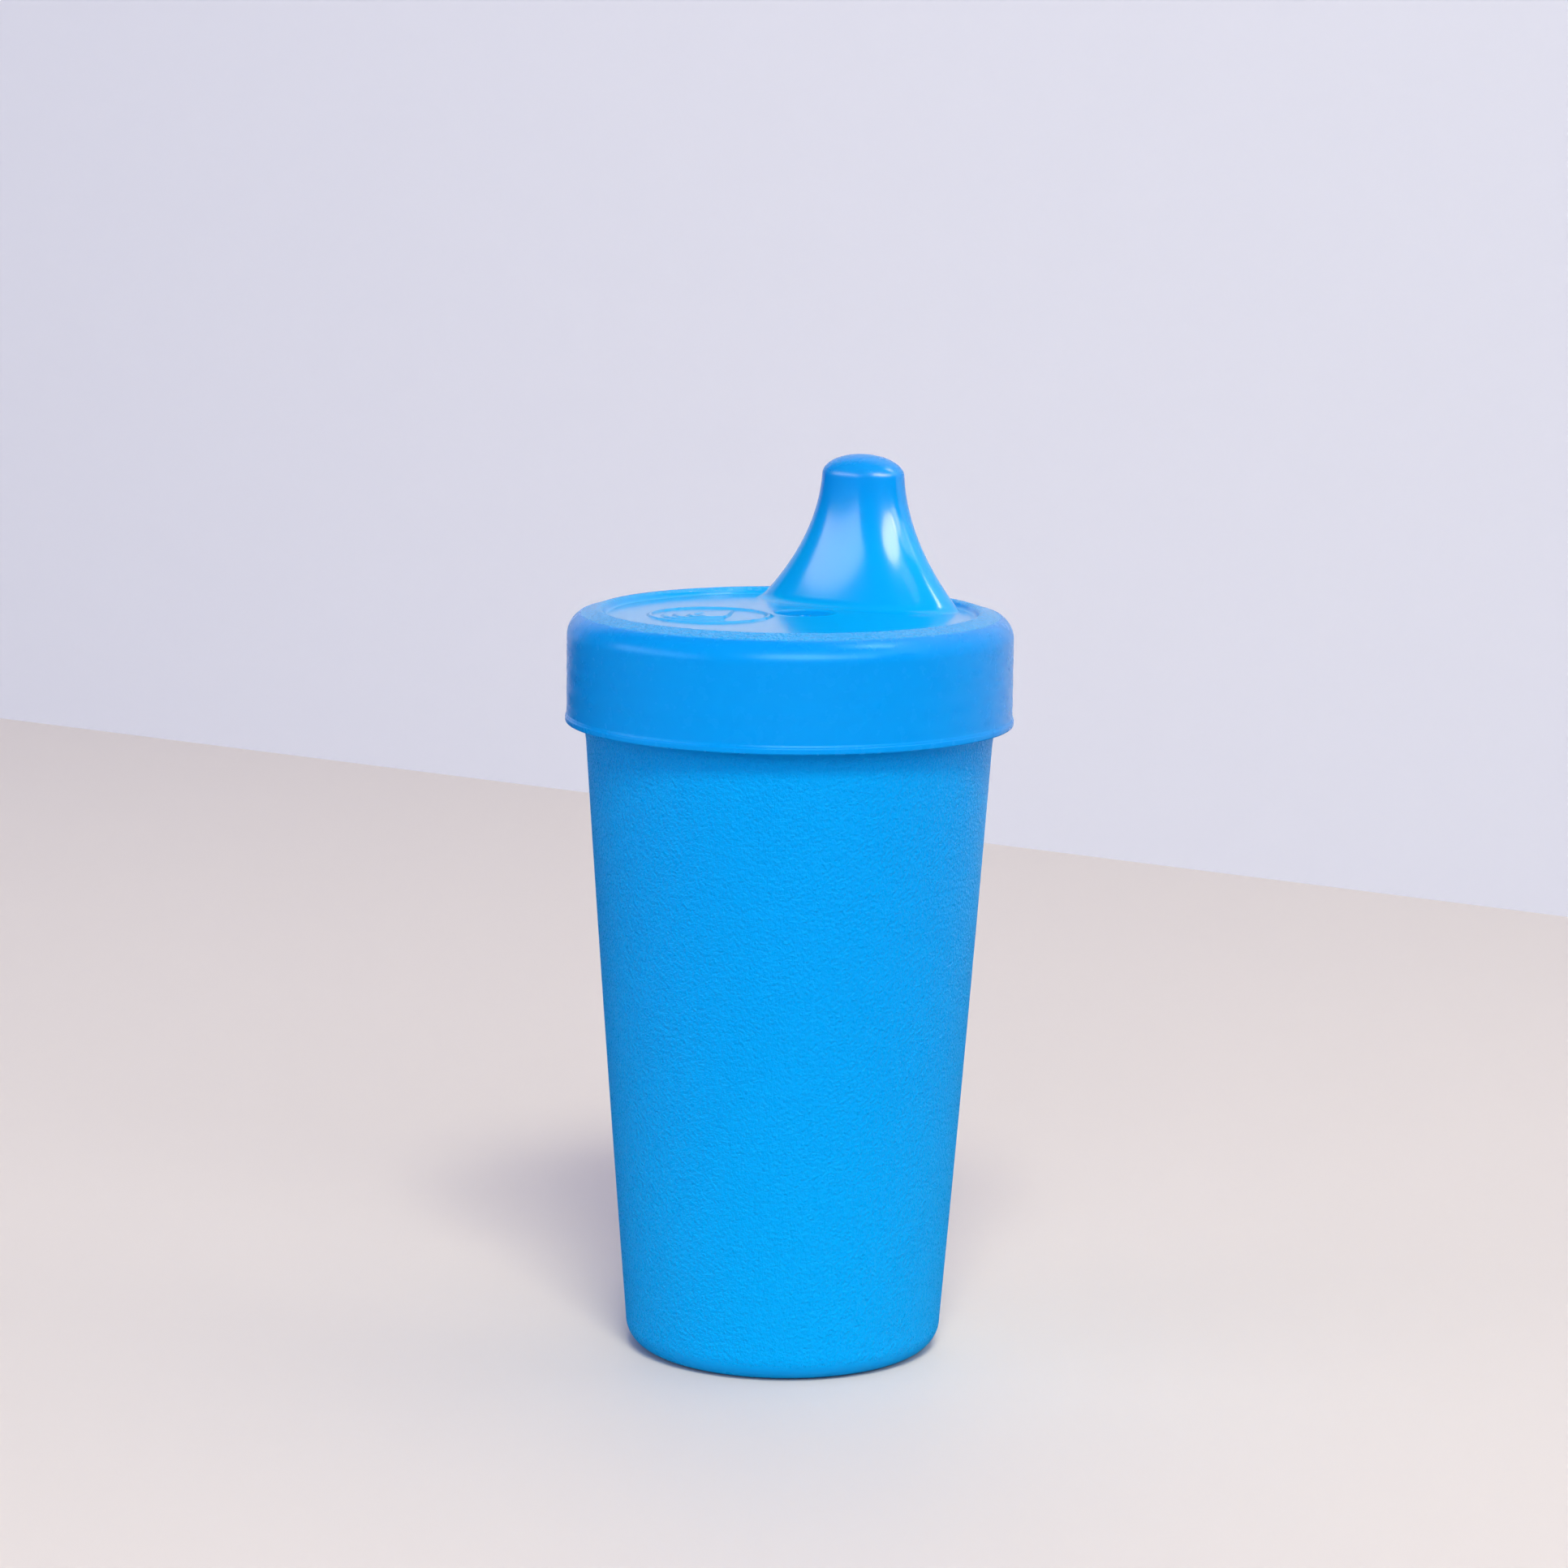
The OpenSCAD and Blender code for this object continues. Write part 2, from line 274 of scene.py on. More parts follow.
def build_lid():
    n = 448
    th = np.arange(n) * 360.0 / n - 90.0
    ca, sa = np.cos(np.radians(th)), np.sin(np.radians(th))

    def circle(r, z, cy=0.0):
        return np.stack([r * ca, cy + r * sa, np.broadcast_to(z, ca.shape)], -1)

    def oval(a, b, z, cy):
        return np.stack([a * ca, cy + b * sa, np.broadcast_to(z, ca.shape)], -1)

    def spout_ring(z):
        f = float(flare(z))
        return oval(TIP_A + (FOOT_A - TIP_A) * f, TIP_B + (FOOT_B - TIP_B) * f, z, mid_y(z))

    rings = []
    # outer wall of the skirt, from the lip up
    lip = chain(
        arc(SKIRT_IN + 0.3, LIP_Z + 0.3, 0.3, 180, 270, 4),
        line((SKIRT_IN + 0.35, LIP_Z), (LIP_R - 0.35, LIP_Z), 4),
        arc(LIP_R - 0.3, LIP_Z + 0.3, 0.3, 270, 360, 6),
        arc(LIP_R - 0.35, LIP_Z + 0.85, 0.35, 0, 50, 5),
        arc(SKIRT_R + 0.32, LIP_Z + 1.62, 0.3, 220, 180, 4),
    )
    rings += [circle(r, z) for r, z in lip]
    for z in np.arange(LIP_Z + 2.0, DISC_Z - 3.6, 0.32):
        wave = 0.5 + 0.5 * np.cos(np.radians((z - (115.2 - 1.55)) / PITCH * 360.0 - th))
        fade = smooth(z, 113.0, 115.0) * (1 - smooth(z, 122.2, 124.6))
        r = SKIRT_R + 0.02 * (DISC_Z - 3.6 - z) / 15.0 - 0.035 * wave * fade
        rings.append(circle(r, z))
    sr = SKIRT_R - SHOULDER
    top = chain(
        arc(sr, DISC_Z - 3.6, SHOULDER, 2, 57.0, 26),
        [(36.93, 131.36), (36.86, 131.30), (36.76, 131.33)],
        line((36.62, 131.43), (34.4, 132.14), 12),
        arc(33.75, 131.25, 1.05, 66, 165, 12),
        [(32.62, 131.34)],
        arc(32.05, 131.66, 0.56, -28, -90, 6),
    )
    rings += [circle(r, z) for r, z in top]
    # across the sunk disc to the foot of the spout
    edge = circle(DISC_R, DISC_Z)
    foot = oval(FOOT_A, FOOT_B, DISC_Z, FOOT_Y)
    gap = np.linalg.norm(edge[:, :2] - foot[:, :2], axis=1)
    fil = np.minimum(1.5, 0.6 * gap)
    m = 150
    for i in range(1, m + 1):
        t = i / m
        stop = 1 - fil / gap
        p = edge * (1 - (t * stop)[:, None]) + foot * (t * stop)[:, None]
        p[:, 2] = DISC_Z + relief(p[:, 0], p[:, 1])
        rings.append(p)
    # fillet into the flare, as a quadratic from the disc to a little way up the spout
    base = rings[-1].copy()
    z1 = DISC_Z + 1.3
    up = spout_ring(z1)
    for t in np.linspace(0, 1, 12)[1:]:
        rings.append(base * (1 - t) ** 2 + foot * 2 * t * (1 - t) + up * t * t)
    for z in np.linspace(z1 + 0.35, NECK_TOP - 0.25, 66):
        rings.append(spout_ring(z))
    for a in np.concatenate([np.linspace(0, 60, 16), np.linspace(63, 88.5, 12)]):
        c, sn = math.cos(math.radians(a)), math.sin(math.radians(a))
        rings.append(oval(TIP_A * c, TIP_B * c, NECK_TOP + TIP_DOME * sn, TIP_Y))
    outer = rings
    # from the roof of the channel down its wall, the post, the underside and the thread
    rings = []
    ra, rb = TIP_A - TIP_WALL, TIP_B - TIP_WALL
    for z, a, b in ((1.8, ra - 2.9, rb - 1.8), (1.74, ra - 2.2, rb - 1.25), (1.5, ra - 1.5, rb - 0.9), (1.1, ra - 0.9, rb - 0.5), (0.6, ra - 0.35, rb - 0.2)):
        rings.append(oval(a, b, NECK_TOP + z, TIP_Y))
    c_r = POST_BORE - 0.3
    z0 = PLATE_Z - 1.5
    for t in np.linspace(1, 0.09, 20):
        z = z0 + (NECK_TOP - z0) * t
        rings.append(oval(c_r + (ra - c_r) * t, c_r + (rb - c_r) * t, z, mid_y(z)))
    for r, z in chain([(POST_BORE - 0.05, PLATE_Z)], line((POST_BORE, PLATE_Z - 0.3), (POST_BORE, POST_Z + 0.5), 6),
                      arc(POST_BORE + 0.5, POST_Z + 0.5, 0.5, 180, 270, 5), arc(POST_R - 0.5, POST_Z + 0.5, 0.5, 270, 360, 5),
                      line((POST_R, POST_Z + 0.6), (POST_R, PLATE_Z - 0.5), 6), arc(POST_R + 0.45, PLATE_Z - 0.45, 0.45, 180, 95, 4)):
        rings.append(circle(r, z, FOOT_Y))
    a0 = circle(POST_R + 0.5, PLATE_Z, FOOT_Y)
    a1 = circle(31.45, PLATE_Z)
    for t in np.linspace(0, 1, 30):
        rings.append(a0 * (1 - t) + a1 * t)
    inner = chain(
        line((31.5, PLATE_Z - 0.2), (31.5, PLATE_Z - 3.3), 5),
        arc(31.95, PLATE_Z - 3.45, 0.45, 180, 270, 4),
        line((32.2, PLATE_Z - 3.9), (32.5, PLATE_Z - 3.85), 2),
        arc(32.45, PLATE_Z - 3.3, 0.55, 285, 360, 5),
        line((33.0, PLATE_Z - 3.2), (33.0, PLATE_Z - 0.15), 5),
        line((33.15, PLATE_Z), (SKIRT_IN - 0.6, PLATE_Z), 6),
        arc(SKIRT_IN - 0.6, PLATE_Z - 0.6, 0.6, 85, 0, 5),
        line((SKIRT_IN, PLATE_Z - 0.8), (SKIRT_IN, 125.6), 4),
    )
    rings += [circle(r, z) for r, z in inner]
    for z in np.arange(125.4, LIP_Z + 0.45, -0.22):
        h = ridge(th % 360.0, np.full(n, z), 115.2 - 1.55, 90, 90 + 360 * TURNS, 0.9, 0.42)
        rings.append(circle(SKIRT_IN - (SKIRT_IN - LID_CREST - 0.02) * h, z))
    ob = rings_object("lid_shell", rings + outer, (0, TIP_Y, NECK_TOP + 1.8), (0, TIP_Y, TOP_Z))
    # three drinking holes with softened edges
    for x in (-HOLE_GAP, 0.0, HOLE_GAP):
        y = 1.5
        z = NECK_TOP + TIP_DOME * math.sqrt(1 - (x / TIP_A) ** 2 - (y / TIP_B) ** 2)
        r = HOLE_D / 2
        drill = lathe("drill", [(0, NECK_TOP), (r, NECK_TOP), (r, z - 0.42), (r + 0.03, z - 0.26), (r + 0.10, z - 0.13), (r + 0.24, z + 0.05), (r + 0.7, z + 0.6), (0, z + 0.6)],
                      48, x, TIP_Y + y)
        boolean(ob, drill, "DIFFERENCE")
    # the vent's post and pin hole
    post = lathe("vent_post", chain(
        line((VENT_BORE, PLATE_Z + 0.6), (VENT_BORE, VENT_Z + 0.45), 4),
        arc(VENT_BORE + 0.4, VENT_Z + 0.4, 0.4, 180, 270, 4), arc(VENT_R - 0.4, VENT_Z + 0.4, 0.4, 270, 360, 4),
        line((VENT_R, VENT_Z + 0.5), (VENT_R, PLATE_Z + 0.6), 4))[:, :], 96, 0, VENT_Y, loop=True)
    boolean(ob, post, "UNION")
    pin = lathe("pin", [(0, PLATE_Z - 0.5), (0.8, PLATE_Z - 0.5), (0.8, DISC_Z - 0.78), (1.05, DISC_Z - 0.52), (1.05, DISC_Z + 0.5), (0, DISC_Z + 0.5)], 48, 0, VENT_Y)
    boolean(ob, pin, "DIFFERENCE")
    return finish_mesh(ob, 38)


# ------------------------------------------------------- sealing ring, valve
def build_seal():
    prof = chain(arc(33.45, 127.8, 0.35, 180, 270, 5), line((33.6, 127.45), (36.1, 127.45), 6),
                 arc(36.25, 127.8, 0.35, 270, 360, 5), arc(36.25, 128.7, 0.35, 0, 90, 5), arc(33.45, 128.7, 0.35, 90, 180, 5))
    return finish_mesh(lathe("sealing_ring_soft", prof, 256, loop=True), 50)


def chamber(name, cy, r, zlow):
    o = r + V_WALL
    f = zlow + V_FLOOR
    return lathe(name, chain(
        [(0, zlow + 0.1)], line((1.0, zlow + 0.09), (3.0, zlow + 0.02), 3),
        arc(o - 1.1, zlow + 1.1, 1.1, 270, 360, 8),
        line((o, zlow + 1.3), (o, 127.2), 6),
        arc(o + 0.3, 127.5, 0.3, 180, 120, 3), arc(o + 0.25, 128.15, 0.25, -30, 90, 5),
        arc(r + 0.2, 128.2, 0.2, 90, 180, 3),
        line((r, 128.1), (r, f + 0.6), 8),
        arc(r - 0.5, f + 0.5, 0.5, 0, -90, 4),
        [(3.0, f), (1.0, f + 0.03), (0, f + 0.04)]), 128, 0, cy)


def rounded_bar(name, x, y0, y1, z0, z1, r):
    """A bar along Y with a rounded section."""
    sec = []
    for cx, cz, a0 in ((x - r, z1 - r, 0), (-x + r, z1 - r, 90), (-x + r, z0 + r, 180), (x - r, z0 + r, 270)):
        for a in np.linspace(a0, a0 + 90, 7):
            sec.append((cx + r * math.cos(math.radians(a)), cz + r * math.sin(math.radians(a))))
    sec = np.array(sec)
    rings = []
    for y in np.linspace(y0, y1, 16):
        w = 1 + 0.22 * abs(2 * (y - y0) / (y1 - y0) - 1) ** 2
        rings.append(np.stack([sec[:, 0] * w, np.full(len(sec), y), sec[:, 1]], -1))
    mid0 = (0, y0, (z0 + z1) / 2)
    mid1 = (0, y1, (z0 + z1) / 2)
    return rings_object(name, rings, mid0, mid1)


def slit(name, cx, cy, length, wide, zlow):
    x, y = length / 2, wide / 2
    v = [(cx + sx * x, cy + sy * y, z) for z in (zlow - 1, zlow + V_FLOOR + 1) for sx, sy in ((-1, -1), (1, -1), (1, 1), (-1, 1))]
    f = [[3, 2, 1, 0], [4, 5, 6, 7], [0, 1, 5, 4], [1, 2, 6, 5], [2, 3, 7, 6], [3, 0, 4, 7]]
    return new_object(name, v, f)


def build_valve():
    za, zb = POST_Z - 0.1 - V_FLOOR, VENT_Z - 0.1 - V_FLOOR
    ra, rb = POST_R + V_GAP, VENT_R + V_GAP
    ob = chamber("valve_soft", FOOT_Y, ra, za)
    boolean(ob, chamber("vent_chamber", VENT_Y, rb, zb), "UNION")
    bar = rounded_bar("strap", 3.3, VENT_Y + rb + 0.6, FOOT_Y - ra - 0.6, 122.6, 124.4, 0.8)
    boolean(ob, bar, "UNION")
    for cy, length, zlow in ((FOOT_Y, 7.0, za), (VENT_Y, 4.5, zb)):
        boolean(ob, slit("cut_a", 0, cy, length, 0.26, zlow), "DIFFERENCE")
        boolean(ob, slit("cut_b", 0, cy, 0.26, length, zlow), "DIFFERENCE")
    return finish_mesh(ob, 40)


# --------------------------------------------------------------- materials
def nodes_of(name):
    mat = bpy.data.materials.new(name)
    mat.use_nodes = True
    nt = mat.node_tree
    return mat, nt, nt.nodes["Principled BSDF"]


def math_node(nt, op, a, b=None, clamp=False):
    nd = nt.nodes.new("ShaderNodeMath")
    nd.operation, nd.use_clamp = op, clamp
    for i, v in enumerate((a, b)):
        if v is None:
            continue
        if isinstance(v, (int, float)):
            nd.inputs[i].default_value = v
        else:
            nt.links.new(v, nd.inputs[i])
    return nd.outputs[0]


def step_node(nt, value, lo, hi):
    """0 below lo, 1 above hi, smooth between."""
    nd = nt.nodes.new("ShaderNodeMapRange")
    nd.interpolation_type = "SMOOTHSTEP"
    nt.links.new(value, nd.inputs["Value"])
    nd.inputs["From Min"].default_value, nd.inputs["From Max"].default_value = lo, hi
    return nd.outputs["Result"]


def noise_node(nt, vec, scale, detail=2.0, rough=0.5):
    nd = nt.nodes.new("ShaderNodeTexNoise")
    nd.inputs["Scale"].default_value = scale
    nd.inputs["Detail"].default_value = detail
    nd.inputs["Roughness"].default_value = rough
    nt.links.new(vec, nd.inputs["Vector"])
    return nd.outputs["Fac"]


def mix_colour(nt, fac, a, b):
    nd = nt.nodes.new("ShaderNodeMix")
    nd.data_type = "RGBA"
    nt.links.new(fac, nd.inputs[0])
    for i, c in ((6, a), (7, b)):
        if isinstance(c, tuple):
            nd.inputs[i].default_value = (*c, 1)
        else:
            nt.links.new(c, nd.inputs[i])
    return nd.outputs[2]


def bump_node(nt, height, distance, strength=1.0, after=None):
    nd = nt.nodes.new("ShaderNodeBump")
    nd.inputs["Strength"].default_value = strength
    nd.inputs["Distance"].default_value = distance
    nt.links.new(height, nd.inputs["Height"])
    if after is not None:
        nt.links.new(after, nd.inputs["Normal"])
    return nd.outputs["Normal"]


def place(nt):
    tc = nt.nodes.new("ShaderNodeTexCoord")
    sep = nt.nodes.new("ShaderNodeSeparateXYZ")
    nt.links.new(tc.outputs["Object"], sep.inputs[0])
    return tc.outputs["Object"], sep.outputs[0], sep.outputs[1], sep.outputs[2]


BLUE_A, BLUE_B = (0.0, 0.258, 0.715), (0.0, 0.274, 0.755)
CUP_A, CUP_B = (0.0, 0.300, 0.775), (0.0, 0.318, 0.820)


def cup_material():
    mat, nt, bsdf = nodes_of("cup_pebbled_plastic")
    vec, x, y, z = place(nt)
    big = noise_node(nt, vec, 60, 3, 0.55)
    fine = noise_node(nt, vec, 1600, 2.0, 0.55)
    tiny = noise_node(nt, vec, 2500, 1.0, 0.5)
    # painted light: the cup is painted a little lighter towards the foot
    foot_painted_light = math_node(nt, "SUBTRACT", 1.0, step_node(nt, z, 0.0, 0.090))
    body = mix_colour(nt, math_node(nt, "MULTIPLY", foot_painted_light, 0.30), mix_colour(nt, big, CUP_A, CUP_B), (0.0, 0.47, 0.95))
    nt.links.new(body, bsdf.inputs["Base Color"])
    # the grain covers the outside wall only: none on the neck, the foot rounding or the inside
    rad = math_node(nt, "SQRT", math_node(nt, "ADD", math_node(nt, "MULTIPLY", x, x), math_node(nt, "MULTIPLY", y, y)))
    hz = math_node(nt, "SUBTRACT", z, 0.0047)
    wall = math_node(nt, "ADD", math_node(nt, "MULTIPLY", hz, 0.0797 - 0.0064 * 0.55), 0.0281 - 0.0009)
    outside = math_node(nt, "GREATER_THAN", rad, wall)
    grain_zone = math_node(nt, "MULTIPLY", math_node(nt, "MULTIPLY", step_node(nt, z, 0.0026, 0.0034), outside),
                           math_node(nt, "SUBTRACT", 1.0, step_node(nt, z, 0.1108, 0.1116)))
    grain = math_node(nt, "ADD", math_node(nt, "MULTIPLY", fine, 1.0), math_node(nt, "MULTIPLY", tiny, 0.35))
    height = math_node(nt, "MULTIPLY", math_node(nt, "SUBTRACT", grain, 0.675), grain_zone)
    nt.links.new(bump_node(nt, height, 0.00036, 1.0), bsdf.inputs["Normal"])
    rough = math_node(nt, "ADD", math_node(nt, "MULTIPLY", grain_zone, 0.14), math_node(nt, "ADD", math_node(nt, "MULTIPLY", big, 0.06), 0.25))
    # the crests of some grains are polished and glint
    glint = math_node(nt, "MULTIPLY", step_node(nt, tiny, 0.575, 0.64), grain_zone)
    nt.links.new(math_node(nt, "SUBTRACT", rough, math_node(nt, "MULTIPLY", glint, 0.26)), bsdf.inputs["Roughness"])
    bsdf.inputs["IOR"].default_value = 1.52
    bsdf.inputs["Specular IOR Level"].default_value = 0.27
    bsdf.inputs["Specular Tint"].default_value = (0.10, 0.64, 1.0, 1)
    bsdf.inputs["Sheen Weight"].default_value = 0.30
    bsdf.inputs["Sheen Roughness"].default_value = 0.45
    bsdf.inputs["Sheen Tint"].default_value = (0.03, 0.50, 1.0, 1)
    bsdf.inputs["Subsurface Weight"].default_value = 0.12
    bsdf.inputs["Subsurface Radius"].default_value = (0.0004, 0.0010, 0.0022)
    bsdf.inputs["Subsurface Scale"].default_value = 1.0
    return mat


def lid_material():
    mat, nt, bsdf = nodes_of("lid_moulded_plastic")
    vec, x, y, z = place(nt)
    big = noise_node(nt, vec, 55, 3, 0.55)
    rad = math_node(nt, "SQRT", math_node(nt, "ADD", math_node(nt, "MULTIPLY", x, x), math_node(nt, "MULTIPLY", y, y)))
    inside_band = math_node(nt, "MULTIPLY", step_node(nt, rad, 0.0327, 0.0331), math_node(nt, "SUBTRACT", 1.0, step_node(nt, rad, 0.0367, 0.0369)))
    band = math_node(nt, "MULTIPLY", inside_band, step_node(nt, z, 0.1309, 0.1312))
    # painted light: the disc and the root of the spout are painted lighter than the thick skirt, as if lit from above
    high = math_node(nt, "MULTIPLY", math_node(nt, "MULTIPLY", step_node(nt, z, 0.1308, 0.1311), math_node(nt, "SUBTRACT", 1.0, step_node(nt, rad, 0.0330, 0.0350))),
                     math_node(nt, "SUBTRACT", 1.0, math_node(nt, "MULTIPLY", step_node(nt, z, 0.140, 0.154), 0.85)))
    body = mix_colour(nt, big, BLUE_A, BLUE_B)
    # painted light: the textured band is painted lighter as well, to offset the shade that its bump gives
    nt.links.new(mix_colour(nt, math_node(nt, "MAXIMUM", math_node(nt, "MULTIPLY", high, 0.60), math_node(nt, "MULTIPLY", band, 0.45)), body, (0.0, 0.45, 0.86)), bsdf.inputs["Base Color"])
    # above the band's height only the spout is left, inside it only the disc
    skirt = math_node(nt, "MULTIPLY", step_node(nt, rad, 0.0366, 0.0369), 1.0)
    fine = noise_node(nt, vec, 1250, 2.0, 0.55)
    orange = noise_node(nt, vec, 420, 2.0, 0.5)
    slow = noise_node(nt, vec, 75, 2.0, 0.5)
    stipple = math_node(nt, "MULTIPLY", math_node(nt, "SUBTRACT", fine, 0.5), math_node(nt, "ADD", band, math_node(nt, "MULTIPLY", math_node(nt, "MULTIPLY", high, math_node(nt, "SUBTRACT", 1.0, step_node(nt, z, 0.1312, 0.1316))), 0.035)))
    n1 = bump_node(nt, stipple, 0.00042, 1.0)
    n2 = bump_node(nt, math_node(nt, "MULTIPLY", orange, skirt), 0.000003, 0.4, n1)
    n3 = bump_node(nt, slow, 0.00003, 0.3, n2)
    nt.links.new(n3, bsdf.inputs["Normal"])
    rough = math_node(nt, "ADD", math_node(nt, "ADD", math_node(nt, "MULTIPLY", skirt, 0.12), math_node(nt, "MULTIPLY", band, 0.08)),
                      math_node(nt, "ADD", math_node(nt, "MULTIPLY", orange, 0.04), math_node(nt, "ADD", math_node(nt, "MULTIPLY", step_node(nt, z, 0.1536, 0.1548), 0.12), 0.13)))
    nt.links.new(rough, bsdf.inputs["Roughness"])
    bsdf.inputs["IOR"].default_value = 1.52
    # the skirt is duller than the polished disc and spout
    nt.links.new(math_node(nt, "SUBTRACT", 0.5, math_node(nt, "MULTIPLY", math_node(nt, "MULTIPLY", skirt, math_node(nt, "SUBTRACT", 1.0, step_node(nt, z, 0.1285, 0.1312))), 0.30)),
                 bsdf.inputs["Specular IOR Level"])
    nt.links.new(mix_colour(nt, skirt, (1.0, 0.82, 0.78), (0.35, 0.68, 0.92)), bsdf.inputs["Specular Tint"])
    bsdf.inputs["Subsurface Weight"].default_value = 0.12
    bsdf.inputs["Subsurface Radius"].default_value = (0.0004, 0.0010, 0.0022)
    bsdf.inputs["Subsurface Scale"].default_value = 1.0
    return mat


def silicone_material(name, tone):
    mat, nt, bsdf = nodes_of(name)
    vec, x, y, z = place(nt)
    cloud = noise_node(nt, vec, 180, 3, 0.6)
    skin = noise_node(nt, vec, 1500, 2, 0.5)
    nt.links.new(mix_colour(nt, cloud, tuple(c * 0.93 for c in tone), tone), bsdf.inputs["Base Color"])
    nt.links.new(bump_node(nt, skin, 0.00003, 0.6), bsdf.inputs["Normal"])
    nt.links.new(math_node(nt, "ADD", math_node(nt, "MULTIPLY", cloud, 0.12), 0.32), bsdf.inputs["Roughness"])
    bsdf.inputs["IOR"].default_value = 1.41
    bsdf.inputs["Subsurface Weight"].default_value = 0.35
    bsdf.inputs["Subsurface Radius"].default_value = (0.0020, 0.0021, 0.0022)
    bsdf.inputs["Subsurface Scale"].default_value = 1.0
    return mat


cup = build_cup()
lid = build_lid()
seal = build_seal()
valve = build_valve()
for ob, mat, slot, body, node in (
    (cup, cup_material(), "cup_plastic", "cup", "cup"),
    (lid, lid_material(), "lid_plastic", "lid", "lid"),
    (seal, silicone_material("seal_silicone_soft", (0.80, 0.82, 0.83)), "seal_silicone", "ring", "sealing_ring"),
    (valve, silicone_material("valve_silicone_soft", (0.84, 0.86, 0.87)), "valve_silicone", "valve", "valve"),
):
    ob.data.materials.clear()
    ob.data.materials.append(mat)
    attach(ob, body)
    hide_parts(node)

# ------------------------------------------------------- camera and set-up
# View frame: camera to the south, turned so that the spout points away to the right
TURN = Matrix.Rotation(math.radians(34.0), 4, "Z")


def seen(x, y, z):
    """A point given in the view's own axes (x right, y away), in metres, as a point in the row frame."""
    return TURN @ Vector((x, y, z))


cam_data = bpy.data.cameras.new("camera")
cam_data.sensor_width = 36.0
cam_data.lens = 104.475
cam_data.clip_start, cam_data.clip_end = 0.05, 20.0
cam = bpy.data.objects.new("camera", cam_data)
bpy.context.scene.collection.objects.link(cam)
cam.matrix_world = (TURN @ Matrix.Translation((-0.00082, -0.791559, 0.228953)) @ Matrix.Rotation(math.radians(90 - 9.1699), 4, "X")
                    @ Matrix.Rotation(math.radians(0.6504), 4, "Z"))
bpy.context.scene.camera = cam


def panel(name, corners, mat):
    me = bpy.data.meshes.new(name)
    n = 12
    a, b, c, d = (np.array(p) for p in corners)
    u = np.linspace(0, 1, n + 1)
    verts = [((1 - s) * (1 - t) * a + s * (1 - t) * b + s * t * c + (1 - s) * t * d).tolist() for t in u for s in u]
    faces = [[j * (n + 1) + i, j * (n + 1) + i + 1, (j + 1) * (n + 1) + i + 1, (j + 1) * (n + 1) + i] for j in range(n) for i in range(n)]
    me.from_pydata(verts, [], faces)
    me.update()
    ob = bpy.data.objects.new(name, me)
    bpy.context.scene.collection.objects.link(ob)
    me.materials.append(mat)
    return ob


def plain(name, colour, rough):
    """A plain matt stage surface that is clear from behind, so that views from behind or below still show the cup."""
    mat, nt, bsdf = nodes_of(name)
    bsdf.inputs["Base Color"].default_value = (*colour, 1)
    bsdf.inputs["Roughness"].default_value = rough
    side_of = nt.nodes.new("ShaderNodeNewGeometry")
    clear = nt.nodes.new("ShaderNodeBsdfTransparent")
    mix = nt.nodes.new("ShaderNodeMixShader")
    nt.links.new(side_of.outputs["Backfacing"], mix.inputs[0])
    nt.links.new(bsdf.outputs[0], mix.inputs[1])
    nt.links.new(clear.outputs[0], mix.inputs[2])
    nt.links.new(mix.outputs[0], nt.nodes["Material Output"].inputs["Surface"])
    return mat


floor_mat = plain("floor_pale", (0.757, 0.682, 0.628), 0.6)
wall_mat = plain("wall_pale", (0.70, 0.71, 0.785), 0.85)
d = Vector((480.7, -332.5, 0)).normalized()
mid = Vector((-0.0288, 0.5826, 0))
# painted shade: the wall is painted a little darker towards the right, to even out the key light falling on that side
nt = wall_mat.node_tree
_, wx, wy, _ = place(nt)
run = seen(d.x, d.y, 0)
along = math_node(nt, "ADD", math_node(nt, "MULTIPLY", wx, run.x), math_node(nt, "MULTIPLY", wy, run.y))
nt.links.new(mix_colour(nt, step_node(nt, along, -0.35, 0.35), (0.72, 0.73, 0.80), (0.65, 0.66, 0.735)), nt.nodes["Principled BSDF"].inputs["Base Color"])
w0, w1 = mid - d * 3.0, mid + d * 3.0
ground = panel("floor", [seen(-3, -3, 0), seen(3, -3, 0), seen(3, 3, 0), seen(-3, 3, 0)], floor_mat)
ground.visible_glossy = False
panel("backdrop", [seen(w0.x, w0.y, -0.01), seen(w1.x, w1.y, -0.01), seen(w1.x, w1.y, 2.6), seen(w0.x, w0.y, 2.6)], wall_mat)


def area(name, place_at, size, watts, colour, aim=(0, 0, 0.11)):
    li = bpy.data.lights.new(name, "AREA")
    li.shape, li.size, li.size_y = "RECTANGLE", size[0], size[1]
    li.energy, li.color = watts, colour
    ob = bpy.data.objects.new(name, li)
    bpy.context.scene.collection.objects.link(ob)
    ob.location = seen(*place_at)
    ob.rotation_mode = "QUATERNION"
    ob.rotation_quaternion = (seen(*aim) - ob.location).to_track_quat("-Z", "Y")
    return ob


def at(azimuth, elevation, distance):
    """Place seen from the cup: azimuth 0 is towards the camera, positive to the right."""
    a, e = math.radians(azimuth), math.radians(elevation)
    return (distance * math.sin(a) * math.cos(e), -distance * math.cos(a) * math.cos(e), 0.13 + distance * math.sin(e))


def window_light(name, azimuth, elevation, distance, half_az, half_el, radiance, colour, shape="RECTANGLE"):
    """A light that only shows in reflections, given by the directions that it fills and how bright it looks."""
    w = 2 * distance * math.tan(math.radians(half_az))
    h = 2 * distance * math.tan(math.radians(half_el))
    ob = area(name, at(azimuth, elevation, distance), (w, h), radiance * math.pi * w * h, colour, aim=(0.01, 0.015, 0.14))
    ob.data.shape = shape
    ob.visible_diffuse = False
    return ob


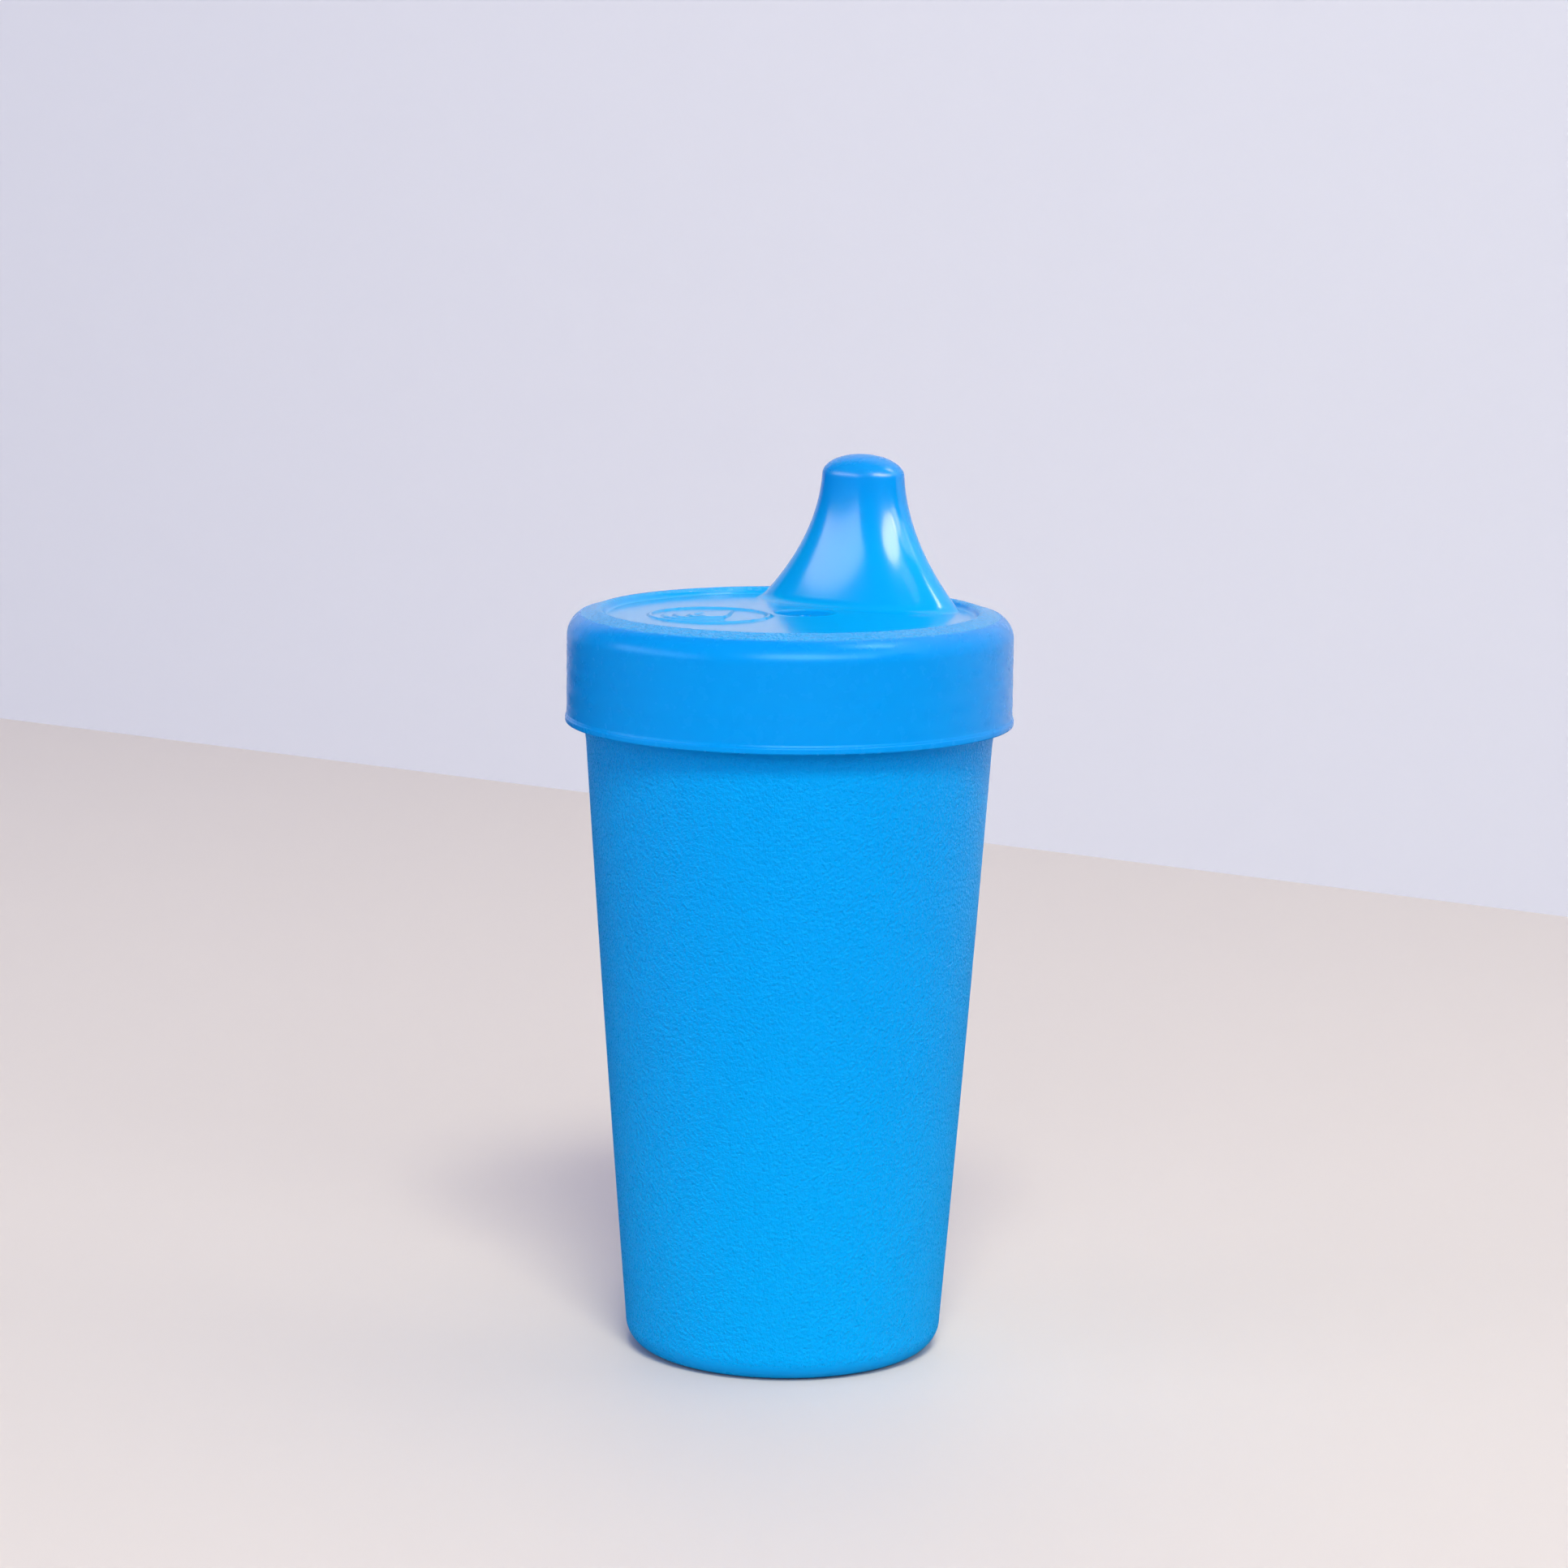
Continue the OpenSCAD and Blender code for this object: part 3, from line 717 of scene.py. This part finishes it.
key = area("key", at(7, 47, 2.8), (0.9, 0.6), 58.0, (1.0, 1.0, 0.80))
key.visible_glossy = False
front = area("front", at(14, 28, 2.8), (3.0, 1.1), 24.0, (1.0, 1.0, 0.97))
front.visible_glossy = False
window_light("front_window", 4, 28, 3.0, 20, 9.5, 10.5, (1.0, 1.0, 1.0), "ELLIPSE")
window_light("front_window_end", 33, 26, 2.6, 13, 7.5, 4.5, (1.0, 1.0, 1.0), "ELLIPSE")
window_light("left_window", -73, 13, 1.6, 26, 7, 4.4, (0.95, 0.98, 1.0))
side = area("side", at(-72, 12, 2.6), (1.6, 0.8), 10.0, (1.0, 1.0, 1.0))
side.visible_glossy = False
window_light("right_window", 64, 36, 1.6, 27, 9, 2.6, (0.97, 0.98, 1.0))
window_light("lamp", 84, 60, 2.0, 7, 8, 16.0, (1.0, 1.0, 1.0))

world = bpy.data.worlds.new("soft")
bpy.context.scene.world = world
world.use_nodes = True
wt = world.node_tree
bg = wt.nodes["Background"]
bg.inputs["Color"].default_value = (0.43, 0.46, 1.0, 1)
# the room is dim in reflections below its pale ceiling; elsewhere it gets brighter towards the top
way = wt.nodes.new("ShaderNodeTexCoord")
split = wt.nodes.new("ShaderNodeSeparateXYZ")
wt.links.new(way.outputs["Generated"], split.inputs[0])


def ramp(lo, hi, low, high):
    nd = wt.nodes.new("ShaderNodeMapRange")
    nd.interpolation_type = "SMOOTHSTEP"
    wt.links.new(split.outputs[2], nd.inputs["Value"])
    for key_name, v in (("From Min", lo), ("From Max", hi), ("To Min", low), ("To Max", high)):
        nd.inputs[key_name].default_value = v
    return nd.outputs["Result"]


rays = wt.nodes.new("ShaderNodeLightPath")
pick = wt.nodes.new("ShaderNodeMix")
pick.data_type = "FLOAT"
wt.links.new(rays.outputs["Is Glossy Ray"], pick.inputs[0])
wt.links.new(ramp(0.0, 0.9, 0.36, 0.46), pick.inputs[2])
wt.links.new(ramp(0.55, 0.85, 0.010, 0.14), pick.inputs[3])
wt.links.new(pick.outputs[0], bg.inputs["Strength"])
bpy.context.scene.view_settings.view_transform = "Standard"
bpy.context.scene.view_settings.look = "None"

bpy.context.view_layer.update()
